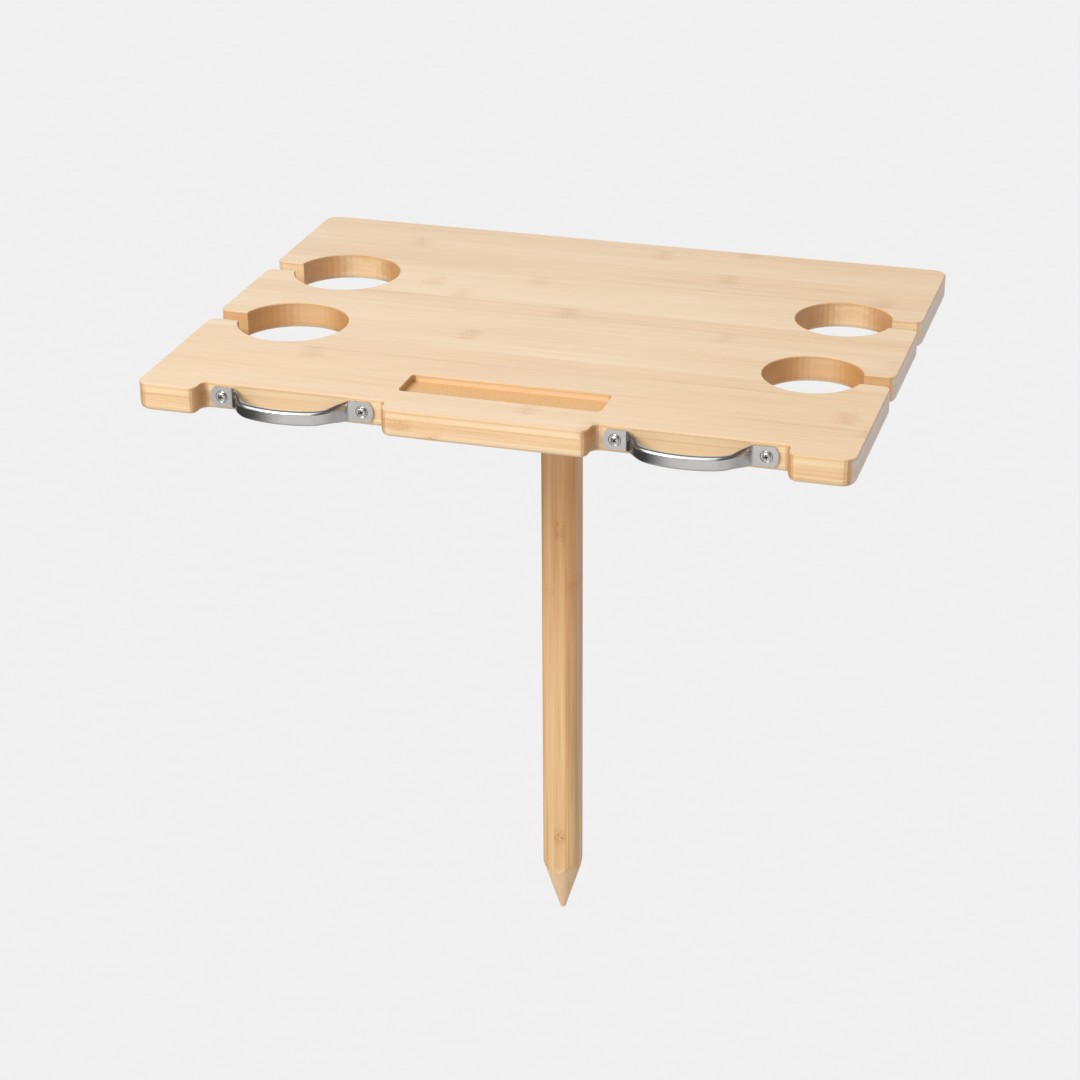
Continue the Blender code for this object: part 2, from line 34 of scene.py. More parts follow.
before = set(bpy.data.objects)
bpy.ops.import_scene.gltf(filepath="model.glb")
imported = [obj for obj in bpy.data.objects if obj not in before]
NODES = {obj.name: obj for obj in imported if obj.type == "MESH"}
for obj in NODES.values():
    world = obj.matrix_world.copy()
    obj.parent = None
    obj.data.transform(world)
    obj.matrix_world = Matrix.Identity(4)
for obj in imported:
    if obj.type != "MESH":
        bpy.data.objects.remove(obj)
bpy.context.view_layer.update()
BOARD_LOW, BOARD_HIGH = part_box("table_top")
STAKE_LOW, STAKE_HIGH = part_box("stake")

# Bamboo: the board's face plies, the strips and the spacing of their knuckles
FACE_PLY = 6 * MM
PLY_SHIFT = 0.37  # of a strip's width, from one ply to the next
BOARD_STRIP = 20.5 * MM
BOARD_KNUCKLES = 520 * MM
STAKE_STRIP = 9.2 * MM
STAKE_STRIP_SHIFT = 0.337  # of a strip's width
STAKE_KNUCKLES = 265 * MM
STAKE_LINES = 1.25  # how strongly the fibres show; the board's show by 1
STRIP_SCATTER = 3.7  # metres over which the strips' knuckles lie at random
FIBRE_FINE = 1150  # per metre across the grain
STREAK_FINE = 210
FLECK_FINE = 1100

# The front pair of holes, whose walls get painted shade, and the stake's cone
FRONT_ROW_FROM = -118 * MM
FRONT_ROW_TO = 5 * MM
CONE_HEIGHT = 42 * MM

# Colours as display values, the shades from dark to light
BOARD_SHADES = ((208, 165, 116), (232, 200, 156), (241, 216, 180))
STAKE_SHADES = ((184, 132, 82), (217, 173, 120), (234, 198, 151))
STRIP_WARM = (226, 170, 104)
KNUCKLE_BROWN = (216, 158, 98)
CORE_BROWN = (204, 150, 94)
SAWN_BROWN_AND_SHADE = (170, 104, 38)
HOLE_SHADE_BROWN = (196, 132, 48)
END_SHEEN_GREY = (222, 209, 201)
TOP_SHEEN_PALE = (226, 204, 186)
TOP_SHADE_WARM = (206, 158, 112)
GROOVE_DARK = (196, 144, 86)
GROOVE_LIGHT = (228, 184, 128)
EDGE_SHADE_BROWN = (196, 148, 96)
STAKE_SHADE_ORANGE = (204, 126, 56)
CONE_PALE = (238, 208, 172)
STRAP_GREY = (200, 199, 197)
SCREW_GREY = (205, 202, 196)
ZINC_GREY = (176, 180, 186)
SMUDGE_GREY = (158, 156, 152)
SPECK_GREY = (110, 106, 100)
RECESS_SHADE = (58, 54, 50)

# Strap handles, measured from the outer face of their end plates
STRAP_WIDTH = 14.2 * MM
STRAP_THICKNESS = 1.5 * MM
STRAP_HALF_LENGTH = 59.1 * MM
STRAP_REACH = 26.2 * MM
GRIP_RADIUS = 80 * MM
GRIP_ANGLE = math.radians(16)
SHOULDER_RADIUS = 22 * MM
FLANK_ANGLE = math.radians(62)
FOLD_RADIUS = 3 * MM
PLATE_END_RADIUS = 9.5 * MM
GRIP_FLAT = 2.6 * MM
GRIP_EDGE_RADIUS = 2.5 * MM
GRIP_FORMED_TO_X = 32 * MM
GRIP_FLAT_FROM_X = 46 * MM
STRAP_SCREW_X = 51 * MM
DISH_RADIUS = 4.3 * MM
DISH_DEPTH = 0.6 * MM
DISH_STEPS = 48
STRAP_HOLE_RADIUS = 2 * MM

# Screws and bolt
HEAD_RADIUS = 2.8 * MM
HEAD_HEIGHT = 1.7 * MM
HEAD_DOME = 0.9 * MM
SCREW_STEPS = 36
SCREW_NECK = 2.5 * MM  # from the head to where the thread starts
SCREW_CREST = 1.5 * MM
SCREW_SHANK = 0.86 * SCREW_CREST
SCREW_ROOT = 1 * MM
SCREW_PITCH = 1.35 * MM
RECESS_ARM = 1.9 * MM
RECESS_HALF = 0.42 * MM
RECESS_DEPTH = 1.1 * MM
SCREW_TURNS = (12, 63, 38, 81)  # degrees, as the screws happened to stop
# Countersunk head as (radius, z), from its middle outwards and down to its neck
SUNK_HEAD = (
    (0.8 * MM, 0),
    (3.1 * MM, 0),
    (3.3 * MM, -0.08 * MM),
    (3.38 * MM, -0.3 * MM),
    (1.5 * MM, -2.1 * MM),
)
BOLT_STEPS = 48
BOLT_CREST = 4.98 * MM
BOLT_ROOT = 4.1 * MM
BOLT_PITCH = 1.5 * MM
BOLT_WOOD_PITCH = 3.4 * MM

# Camera: a long lens from the front, turned to the left and looking down
CAMERA_PLACE = Vector((0.5109, -1.7523, 0.6780))
CAMERA_TURN = math.radians(16.779)
CAMERA_TILT = math.radians(24.974)
CAMERA_ROLL = math.radians(-0.357)
CAMERA_LENS = 89.52
SENSOR_WIDTH = 36

FLOOR_GLOW = 0.871
FLOOR_GAP = 0.5 * MM
FLOOR_HALF = 60  # metres; the backdrop beyond is as bright as the floor

# Light: the world's brightness above the horizon, below it and as the steel mirrors it, then the key
SKY_LOW = 0.46
SKY_HIGH = 0.80
SKY_BACK = 0.10
GROUND_MIDDLE = 0.60
GROUND_FRONT = 0.38
GROUND_LEFT = 0.12  # share mirrored from the lower left
CEILING = 0.16
STRIP_LIGHT = 1.5
KEY_PLACE = Vector((-1.12, -1.98, 1.72))
KEY_TARGET = Vector((0, 0, -0.1))
KEY_SIZE = 1.2
KEY_POWER = 58


def linear(red, green, blue):
    """Linear colour from 0 to 255 display values."""
    def channel(value):
        value /= 255
        return value / 12.92 if value <= 0.04045 else ((value + 0.055) / 1.055) ** 2.4

    return (channel(red), channel(green), channel(blue), 1)


class Tree:
    """A node tree, with short calls for the nodes that the recipes use."""

    def __init__(self, tree):
        self.nodes = tree.nodes
        self.links = tree.links

    def put(self, socket, value):
        if isinstance(value, bpy.types.NodeSocket):
            self.links.new(value, socket)
        else:
            socket.default_value = value

    def node(self, kind, inputs, **settings):
        node = self.nodes.new(kind)
        for name, value in settings.items():
            setattr(node, name, value)
        for key, value in inputs.items():
            self.put(node.inputs[key], value)
        return node

    def math(self, operation, first, second=0.0, third=0.0):
        return self.node(
            "ShaderNodeMath", {0: first, 1: second, 2: third}, operation=operation
        ).outputs[0]

    def add(self, first, second):
        return self.math("ADD", first, second)

    def times(self, first, second):
        return self.math("MULTIPLY", first, second)

    def centred(self, value, gain):
        """Turns 0..1 into plus or minus half the gain."""
        return self.math("MULTIPLY_ADD", value, gain, -gain / 2)

    def between(self, value, low, high, to_low=0.0, to_high=1.0):
        """A smooth step from low to high."""
        return self.node(
            "ShaderNodeMapRange",
            {"Value": value, "From Min": low, "From Max": high, "To Min": to_low, "To Max": to_high},
            interpolation_type="SMOOTHSTEP",
        ).outputs["Result"]

    def vector(self, x, y, z):
        return self.node("ShaderNodeCombineXYZ", {0: x, 1: y, 2: z}).outputs[0]

    def noise(self, place, scale=1.0, detail=2.0, roughness=0.5):
        return self.node(
            "ShaderNodeTexNoise",
            {"Vector": place, "Scale": scale, "Detail": detail, "Roughness": roughness},
        ).outputs[0]

    def mix(self, share, first, second):
        node = self.nodes.new("ShaderNodeMix")
        node.data_type = "RGBA"
        self.put(node.inputs[0], share)
        self.put(node.inputs[6], first)
        self.put(node.inputs[7], second)
        return node.outputs[2]

    def tinted(self, share, first, display):
        """Mixes a share of a display colour into the first colour."""
        return self.mix(share, first, linear(*display))

    def object_place(self):
        return self.node("ShaderNodeTexCoord", {}).outputs["Object"]

    def object_normal(self):
        return self.node("ShaderNodeTexCoord", {}).outputs["Normal"]

    def split(self, vector):
        return self.node("ShaderNodeSeparateXYZ", {0: vector}).outputs

    def bump(self, height, distance):
        inputs = {"Height": height, "Distance": distance, "Strength": 1.0}
        return self.node("ShaderNodeBump", inputs).outputs["Normal"]


class Shader(Tree):
    """A new material round one Principled BSDF."""

    def __init__(self, name):
        self.material = bpy.data.materials.new(name)
        self.material.use_nodes = True
        super().__init__(self.material.node_tree)
        self.bsdf = self.nodes["Principled BSDF"]

    def set(self, **values):
        """Sets the shader's own sockets, with underscores for spaces."""
        for name, value in values.items():
            self.put(self.bsdf.inputs[name.replace("_", " ")], value)


# ---------------------------------------------------------------- bamboo


def bamboo(name, axes, strip_width, shift, layer, spacing, lines, shades, seed):
    """Solid bamboo: strips side by side, each with its own tint, fibres and knuckles.

    axes are the indices of the grain, across and depth axes; layer gives a number for each glued layer;
    lines is how strongly the fibres show. Returns the shader, its colour, fibres, streaks and mottling.
    """
    shader = Shader(name)
    place = shader.split(shader.object_place())
    grain, across, depth = (place[axis] for axis in axes)
    level = layer(shader, depth)

    counted = shader.math("DIVIDE", across, strip_width)
    counted = shader.add(counted, shader.math("MULTIPLY_ADD", level, PLY_SHIFT, shift))
    strip = shader.math("FLOOR", counted)
    lots = shader.node(
        "ShaderNodeTexWhiteNoise", {"Vector": shader.vector(strip, level, seed)}, noise_dimensions="3D"
    )
    tint, offset, spare = shader.split(lots.outputs["Color"])
    run = shader.math("MULTIPLY_ADD", offset, STRIP_SCATTER, grain)

    # Knuckles: where a node crossed the cane the fibres swirl and darken
    cycle = shader.math("FRACT", shader.math("DIVIDE", run, spacing))
    reach = shader.times(shader.math("ABSOLUTE", shader.math("SUBTRACT", cycle, 0.5)), spacing)
    wander = shader.noise(shader.vector(run, across, depth), 70, 2)
    reach = shader.math("MULTIPLY_ADD", wander, 14 * MM, reach)
    knuckle = shader.between(reach, 19 * MM, 9 * MM)
    seam = shader.between(reach, 9.5 * MM, 8 * MM)

    swirl = shader.noise(shader.vector(shader.times(run, 160), shader.times(across, 160), level), 1, 2)
    bent = shader.add(across, shader.times(knuckle, shader.centred(swirl, 5 * MM)))

    def drawn_out(along, fine, detail, roughness):
        spot = shader.vector(shader.times(run, along), shader.times(bent, fine), shader.times(depth, fine))
        return shader.noise(spot, 1, detail, roughness)

    fibre = drawn_out(11, FIBRE_FINE, 2, 0.6)
    streak = drawn_out(5, STREAK_FINE, 3, 0.55)
    fleck = drawn_out(620, FLECK_FINE, 3, 0.65)
    cloud_place = shader.vector(shader.times(run, 7), shader.times(across, 30), shader.times(depth, 60))
    cloud = shader.noise(cloud_place, 1, 2)

    tone = shader.add(0.58, shader.centred(tint, 0.36))
    tone = shader.add(tone, shader.centred(streak, lines))
    tone = shader.add(tone, shader.centred(fibre, 0.95 * lines))
    tone = shader.add(tone, shader.centred(cloud, 0.40))
    vivid = shader.between(spare, 0.2, 0.8, 0.3, 1.4)
    mottle = shader.times(shader.times(knuckle, vivid), shader.between(fleck, 0.46, 0.66))
    tone = shader.math("MULTIPLY_ADD", mottle, -0.55, tone)
    tone = shader.math("MULTIPLY_ADD", knuckle, -0.03, tone)
    tone = shader.math("MULTIPLY_ADD", seam, -0.08, tone)

    # A hairline of glue at each joint between strips
    side = shader.math("FRACT", counted)
    joint = shader.math("MINIMUM", side, shader.math("SUBTRACT", 1, side))
    joint = shader.between(joint, 0.022, 0.0)
    tone = shader.math("MULTIPLY_ADD", joint, -0.12, tone)

    ramp = shader.node("ShaderNodeValToRGB", {0: tone})
    stops = ramp.color_ramp.elements
    stops[0].position, stops[0].color = 0.0, linear(*shades[0])
    stops[1].position, stops[1].color = 1.0, linear(*shades[2])
    middle = stops.new(0.5)
    middle.color = linear(*shades[1])
    colour = shader.tinted(shader.times(spare, 0.12), ramp.outputs[0], STRIP_WARM)
    colour = shader.tinted(shader.times(knuckle, 0.16), colour, KNUCKLE_BROWN)
    return shader, colour, fibre, streak, mottle


def grain_relief(shader, fibre, streak, mottle):
    """Height of the bare grain: raised fibres, pitted at the knuckles."""
    height = shader.add(shader.times(fibre, 0.6), shader.times(streak, 0.3))
    return shader.math("MULTIPLY_ADD", mottle, -0.5, height)


def board_layer(shader, depth):
    """1 in the top ply, 0 in the core and -1 in the bottom ply."""
    top = shader.math("GREATER_THAN", depth, BOARD_HIGH.z - FACE_PLY)
    bottom = shader.math("LESS_THAN", depth, BOARD_LOW.z + FACE_PLY)
    return shader.math("SUBTRACT", top, bottom)


def cut_walls(shader, colour, place, normal):
    """Sawn walls drink the lacquer and turn brown, darkened further with painted shade; the ends get a pale
    grey painted sheen and the front holes' walls get painted shade.

    Returns the colour and how far each face cuts across the grain.
    """
    cross = shader.between(shader.math("ABSOLUTE", normal[0]), 0.15, 0.7)
    ends = shader.between(shader.math("ABSOLUTE", place[0]), BOARD_HIGH.x - 4 * MM, BOARD_HIGH.x - 1 * MM)
    sawn_and_shaded = shader.times(cross, shader.math("SUBTRACT", 1, ends))
    # Walls across the grain: partly the end grain's own brown, partly painted shade
    colour = shader.tinted(shader.times(sawn_and_shaded, 0.68), colour, SAWN_BROWN_AND_SHADE)
    # Painted sheen: the end faces are paled to grey as if mirroring the bright room at a grazing angle;
    # stains break it up
    stain = shader.noise(shader.vector(place[0], place[1], shader.times(place[2], 3)), 90, 3, 0.6)
    painted_sheen = shader.times(shader.times(cross, ends), shader.between(stain, 0.70, 0.56, 0.35, 0.88))
    colour = shader.tinted(painted_sheen, colour, END_SHEEN_GREY)
    # Painted shade: the holes' walls are browned and darkened as if shaded, most in the front pair
    shaded_wall = shader.between(shader.math("ABSOLUTE", normal[2]), 0.5, 0.2)
    shaded_wall = shader.times(shaded_wall, shader.math("SUBTRACT", 1, ends))
    shaded_wall = shader.times(shaded_wall, shader.between(place[1], FRONT_ROW_FROM, FRONT_ROW_FROM + 10 * MM))
    shaded_wall = shader.times(shaded_wall, shader.between(place[1], FRONT_ROW_TO, FRONT_ROW_TO + 10 * MM, 0.5, 0.08))
    return shader.tinted(shaded_wall, colour, HOLE_SHADE_BROWN), cross


def top_painted_light(shader, colour, place, upward):
    """Painted light on the top: a pale painted sheen, less of it towards the right, where warmer painted
    shade is added.
    """
    right = shader.times(upward, shader.between(place[0], 40 * MM, 200 * MM))
    painted_sheen = shader.math("MULTIPLY_ADD", right, -0.14, shader.times(upward, 0.26))
    colour = shader.tinted(painted_sheen, colour, TOP_SHEEN_PALE)
    return shader.tinted(shader.times(right, 0.12), colour, TOP_SHADE_WARM)


def groove_floor(shader, colour, place, normal):
    """The groove's floor shows the router's ticks; returns the colour and where that floor is."""
    sunk = shader.between(place[2], BOARD_HIGH.z - 3 * MM, BOARD_HIGH.z - 4.5 * MM)
    sunk = shader.times(sunk, shader.between(normal[2], 0.7, 0.98))
    tick_place = shader.vector(shader.times(place[0], 900), shader.times(place[1], 1300), 0)
    ticks = shader.between(shader.noise(tick_place, 1, 2, 0.6), 0.3, 0.7)
    routed = shader.tinted(ticks, linear(*GROOVE_DARK), GROOVE_LIGHT)
    return shader.mix(shader.times(sunk, 0.85), colour, routed), sunk


def board_material():
    shader, colour, fibre, streak, mottle = bamboo(
        "board_bamboo",
        axes=(0, 1, 2),
        strip_width=BOARD_STRIP,
        shift=0.0,
        layer=board_layer,
        spacing=BOARD_KNUCKLES,
        lines=1.0,
        shades=BOARD_SHADES,
        seed=4.0,
    )
    normal = shader.split(shader.object_normal())
    place = shader.split(shader.object_place())
    colour, cross = cut_walls(shader, colour, place, normal)
    core = shader.math("ABSOLUTE", board_layer(shader, place[2]))
    colour = shader.tinted(shader.math("MULTIPLY_ADD", core, -0.20, 0.20), colour, CORE_BROWN)
    rim = shader.between(place[2], BOARD_HIGH.z - 3 * MM, BOARD_HIGH.z - 1 * MM)
    upward = shader.between(shader.math("ABSOLUTE", normal[2]), 0.7, 0.98)
    # Painted light: the top's upward faces get a pale painted sheen and, towards the right, warmer painted
    # shade
    colour = top_painted_light(shader, colour, place, shader.times(upward, rim))
    colour, sunk = groove_floor(shader, colour, place, normal)
    # Eased edges were rubbed down, so like the groove they shine less; their colour also gets painted shade
    eased = shader.times(rim, shader.between(normal[2], 0.97, 0.85))
    dull = shader.math("MAXIMUM", eased, sunk)
    colour = shader.tinted(shader.times(eased, 0.38), colour, EDGE_SHADE_BROWN)
    rough = shader.add(0.36, shader.centred(fibre, 0.12))
    rough = shader.math("MULTIPLY_ADD", shader.math("MAXIMUM", cross, dull), 0.22, rough)
    relief = shader.bump(grain_relief(shader, fibre, streak, mottle), 0.05 * MM)
    lacquer = shader.math("MULTIPLY_ADD", dull, -0.32, 0.38)
    shader.set(Base_Color=colour, Roughness=rough, Normal=relief)
    shader.set(IOR=1.5, Coat_Weight=lacquer, Coat_Roughness=0.25)
    return shader.material


def stake_material():
    def one_layer(shader, depth):
        return 0.0

    shader, colour, fibre, streak, mottle = bamboo(
        "stake_bamboo",
        axes=(2, 0, 1),
        strip_width=STAKE_STRIP,
        shift=STAKE_STRIP_SHIFT,
        layer=one_layer,
        spacing=STAKE_KNUCKLES,
        lines=STAKE_LINES,
        shades=STAKE_SHADES,
        seed=9.0,
    )
    place = shader.split(shader.object_place())
    # Painted shade: the stake's upper part under the board is darkened and warmed as if in the board's
    # shadow and orange bounce light
    upper = shader.between(place[2], STAKE_LOW.z + 180 * MM, STAKE_LOW.z + 330 * MM)
    colour = shader.tinted(shader.times(upper, 0.26), colour, STAKE_SHADE_ORANGE)
    # The cone's fibres are cut through, so it is paler and rougher
    cone_top = STAKE_LOW.z + CONE_HEIGHT
    turned = shader.between(place[2], cone_top + 4 * MM, cone_top - 4 * MM)
    colour = shader.tinted(shader.times(turned, 0.5), colour, CONE_PALE)
    rough = shader.add(0.40, shader.centred(fibre, 0.14))
    rough = shader.math("MULTIPLY_ADD", turned, 0.2, rough)
    relief = shader.bump(grain_relief(shader, fibre, streak, mottle), 0.06 * MM)
    shader.set(Base_Color=colour, Roughness=rough, Normal=relief)
    shader.set(IOR=1.5, Coat_Weight=0.1, Coat_Roughness=0.28)
    return shader.material


# ---------------------------------------------------------------- metal


def steel(name, colour, rough, brushing, spread, recessed=False):
    """Metal brushed finely along X, with smudges and specks; recessed paints shade into a screw's cross."""
    shader = Shader(name)
    place = shader.object_place()
    x, y, z = shader.split(place)
    lines = shader.noise(
        shader.vector(shader.times(x, 60), shader.times(y, 2200), shader.times(z, 2200)), 1, 2, 0.6
    )
    smudge = shader.noise(place, 130, 3, 0.6)
    speck = shader.noise(place, 900, 2, 0.5)
    base = shader.tinted(shader.between(smudge, 0.35, 0.75, 0, 0.2), linear(*colour), SMUDGE_GREY)
    base = shader.tinted(shader.between(speck, 0.66, 0.78, 0, 0.3), base, SPECK_GREY)
    if recessed:
        # Painted shade: the inside of the screw's cross is darkened as if shaded, and made rougher
        off_axis = shader.math("SQRT", shader.add(shader.times(x, x), shader.times(y, y)))
        shaded_recess = shader.between(off_axis, RECESS_ARM + 0.2 * MM, RECESS_ARM + 0.05 * MM)
        shaded_recess = shader.times(shaded_recess, shader.between(z, -0.28 * MM, -0.7 * MM))
        shaded_recess = shader.times(shaded_recess, shader.between(z, -1.6 * MM, -1.3 * MM))
        base = shader.tinted(shader.times(shaded_recess, 0.9), base, RECESS_SHADE)
        rough = shader.math("MULTIPLY_ADD", shaded_recess, 0.35, rough)
    gloss = shader.add(rough, shader.centred(smudge, spread))
    gloss = shader.add(gloss, shader.centred(lines, spread))
    height = shader.add(shader.times(lines, brushing), shader.times(speck, 0.25 * brushing))
    shader.set(Base_Color=base, Metallic=1.0, Roughness=gloss, Normal=shader.bump(height, 0.02 * MM))
    return shader.material


def dress(node, material):
    """Gives a CAD node its finished material and shades its round faces smooth."""
    thing = NODES[node]
    thing.data.materials.clear()
    thing.data.materials.append(material)
    thing.data.shade_smooth()
    thing.data.set_sharp_from_angle(angle=math.radians(30))


# ---------------------------------------------------------------- fine metal pieces


def grid_mesh(name, rows, closed=False, caps=False):
    """A mesh through rows of equally many points; closed joins each row's ends."""
    mesh = bpy.data.meshes.new(name)
    width = len(rows[0])
    points = [point for row in rows for point in row]
    faces = []
    for i in range(len(rows) - 1):
        for j in range(width if closed else width - 1):
            k = (j + 1) % width
            faces.append((i * width + j, i * width + k, (i + 1) * width + k, (i + 1) * width + j))
    if caps:
        faces.append(tuple(range(width - 1, -1, -1)))
        faces.append(tuple(range((len(rows) - 1) * width, len(rows) * width)))
    mesh.from_pydata(points, [], faces)
    return mesh


def new_object(name, data):
    thing = bpy.data.objects.new(name, data)
    bpy.context.scene.collection.objects.link(thing)
    return thing


def subtract(thing, cutter):
    boolean = thing.modifiers.new("cut", "BOOLEAN")
    boolean.operation = "DIFFERENCE"
    boolean.object = cutter
    boolean.solver = "EXACT"


def baked(thing, helpers, angle_deg):
    """The object's mesh with its modifiers applied; the object and its helpers are removed."""
    bpy.context.view_layer.update()
    graph = bpy.context.evaluated_depsgraph_get()
    mesh = bpy.data.meshes.new_from_object(thing.evaluated_get(graph))
    for item in (thing, *helpers):
        bpy.data.objects.remove(item)
    mesh.shade_smooth()
    mesh.set_sharp_from_angle(angle=math.radians(angle_deg))
    return mesh


def attach(name, mesh, node, body, place, turn=(0, 0, 0)):
    """Sets a finished mesh in the place of a CAD node."""
    thing = new_object(name, mesh)
    thing.location = place
    thing.rotation_euler = turn
    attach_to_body(thing, body)
    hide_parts(node)


def arc_run(start, radius, from_angle, to_angle, steps):
    """Plan points (x, reach, slope) along an arc that bends towards the board."""
    centre_x = start[0] - radius * math.sin(from_angle)
    centre_reach = start[1] - radius * math.cos(from_angle)
    points = []
    for step in range(1, steps + 1):
        angle = from_angle + (to_angle - from_angle) * step / steps
        x = centre_x + radius * math.sin(angle)
        points.append((x, centre_reach + radius * math.cos(angle), angle))
    return points


def strap_plan():
    """Half of a strap in plan, centre to end, as (x, reach, slope, half width)."""
    plan = [(0, STRAP_REACH, 0)]
    plan += arc_run(plan[-1], GRIP_RADIUS, 0, GRIP_ANGLE, 12)
    plan += arc_run(plan[-1], SHOULDER_RADIUS, GRIP_ANGLE, FLANK_ANGLE, 16)
    top_x, top_reach = plan[-1][:2]
    tangent = FOLD_RADIUS * math.tan(FLANK_ANGLE / 2)
    foot_x = top_x + top_reach / math.tan(FLANK_ANGLE)
    low_x = foot_x - tangent * math.cos(FLANK_ANGLE)
    low_reach = tangent * math.sin(FLANK_ANGLE)
    for step in range(1, 9):
        x = top_x + (low_x - top_x) * step / 8
        plan.append((x, top_reach + (low_reach - top_reach) * step / 8, FLANK_ANGLE))
    for step in range(1, 11):
        angle = FLANK_ANGLE * (1 - step / 10)
        x = foot_x + tangent - FOLD_RADIUS * math.sin(angle)
        plan.append((x, FOLD_RADIUS * (1 - math.cos(angle)), angle))
    half_width = STRAP_WIDTH / 2
    stations = [(*point, half_width) for point in plan]
    rise = PLATE_END_RADIUS - math.sqrt(PLATE_END_RADIUS**2 - half_width**2)
    flat_to = STRAP_HALF_LENGTH - rise
    for step in range(1, 6):
        stations.append((plan[-1][0] + (flat_to - plan[-1][0]) * step / 6, 0, 0, half_width))
    for step in range(12):
        from_end = rise * (1 - step / 12) ** 2 + 0.02 * MM
        width = math.sqrt(PLATE_END_RADIUS**2 - (PLATE_END_RADIUS - from_end) ** 2)
        stations.append((STRAP_HALF_LENGTH - from_end, 0, 0, min(width, half_width)))
    return stations


def strap_section(x):
    """Half of the strap's section as (height, depth): flat, then rolled back at its edge."""
    share = (x - GRIP_FORMED_TO_X) / (GRIP_FLAT_FROM_X - GRIP_FORMED_TO_X)
    share = min(max(share, 0), 1)
    flat = GRIP_FLAT + (STRAP_WIDTH / 2 - GRIP_FLAT) * share * share * (3 - 2 * share)
    quarter_turn = GRIP_EDGE_RADIUS * math.pi / 2
    marks = [0, GRIP_FLAT / 2] + [GRIP_FLAT + quarter_turn * step / 14 for step in range(15)]
    marks.append(STRAP_WIDTH / 2)
    points = []
    for mark in marks:
        turn = min(max(mark - flat, 0) / GRIP_EDGE_RADIUS, math.pi / 2)
        straight = max(mark - flat - quarter_turn, 0)
        height = min(mark, flat) + GRIP_EDGE_RADIUS * math.sin(turn)
        points.append((height, GRIP_EDGE_RADIUS * (1 - math.cos(turn)) + straight))
    return points


def turned_cutter(profile, place):
    """A turned space along -Y from its mouth, from (radius, depth) pairs."""
    rows = []
    for radius, depth in profile:
        row = []
        for i in range(DISH_STEPS):
            angle = -math.tau * i / DISH_STEPS
            row.append((place + radius * math.cos(angle), depth, radius * math.sin(angle)))
        rows.append(row)
    return new_object("dish_cutter", grid_mesh("dish_cutter", rows, closed=True, caps=True))


def strap_mesh():
    """The pressed strap in fine steps, its edges just broken, dished round each screw."""
    rows = []
    for x, reach, angle, half_width in strap_plan():
        upper = strap_section(x)
        section = [(-height, depth) for height, depth in reversed(upper[1:])] + upper
        scale = half_width / (STRAP_WIDTH / 2)
        row = []
        for height, depth in section:
            row.append((x - depth * math.sin(angle), -(reach - depth * math.cos(angle)), height * scale))
        rows.append(row)
    left = [[(-x, y, z) for x, y, z in row] for row in reversed(rows[1:])]
    facing_out = [list(reversed(row)) for row in left + rows]
    strap = new_object("strap_sheet", grid_mesh("strap_sheet", facing_out))
    sheet = strap.modifiers.new("thickness", "SOLIDIFY")
    sheet.thickness = STRAP_THICKNESS
    sheet.offset = -1
    # The dish and the screw's hole as (radius, depth), from in front of the plate to behind it
    profile = [
        (DISH_RADIUS + 1 * MM, -1 * MM),
        (DISH_RADIUS + 0.15 * MM, -0.02 * MM),
        (DISH_RADIUS, 0.12 * MM),
        (DISH_RADIUS - 0.2 * MM, DISH_DEPTH - 0.18 * MM),
        (DISH_RADIUS - 0.42 * MM, DISH_DEPTH - 0.04 * MM),
        (DISH_RADIUS - 0.65 * MM, DISH_DEPTH),
        (STRAP_HOLE_RADIUS, DISH_DEPTH),
        (STRAP_HOLE_RADIUS, 3 * MM),
    ]
    cutters = [turned_cutter(profile, side * STRAP_SCREW_X) for side in (-1, 1)]
    for cutter in cutters:
        subtract(strap, cutter)
    # The dish's rim turns by 43 degrees: too little for the bevel, but enough to stay a sharp edge
    edge = strap.modifiers.new("edge", "BEVEL")
    edge.limit_method = "ANGLE"
    edge.angle_limit = math.radians(55)
    edge.width = 0.25 * MM
    edge.segments = 3
    return baked(strap, cutters, 38)


def thread_radius(angle, z, root, crest, pitch):
    """The radius of a right-handed V thread with flattened crests and roots."""
    phase = (z / pitch - angle / math.tau) % 1
    wave = 1 - abs(2 * phase - 1)
    return root + (crest - root) * min(1, max(0, (wave - 0.12) / 0.76))


def ring(radius_at, z, count):
    """Points round Z at the radius that radius_at gives for each angle."""
    row = []
    for i in range(count):
        angle = math.tau * i / count
        radius = radius_at(angle)
        row.append((radius * math.cos(angle), radius * math.sin(angle), z))
    return row


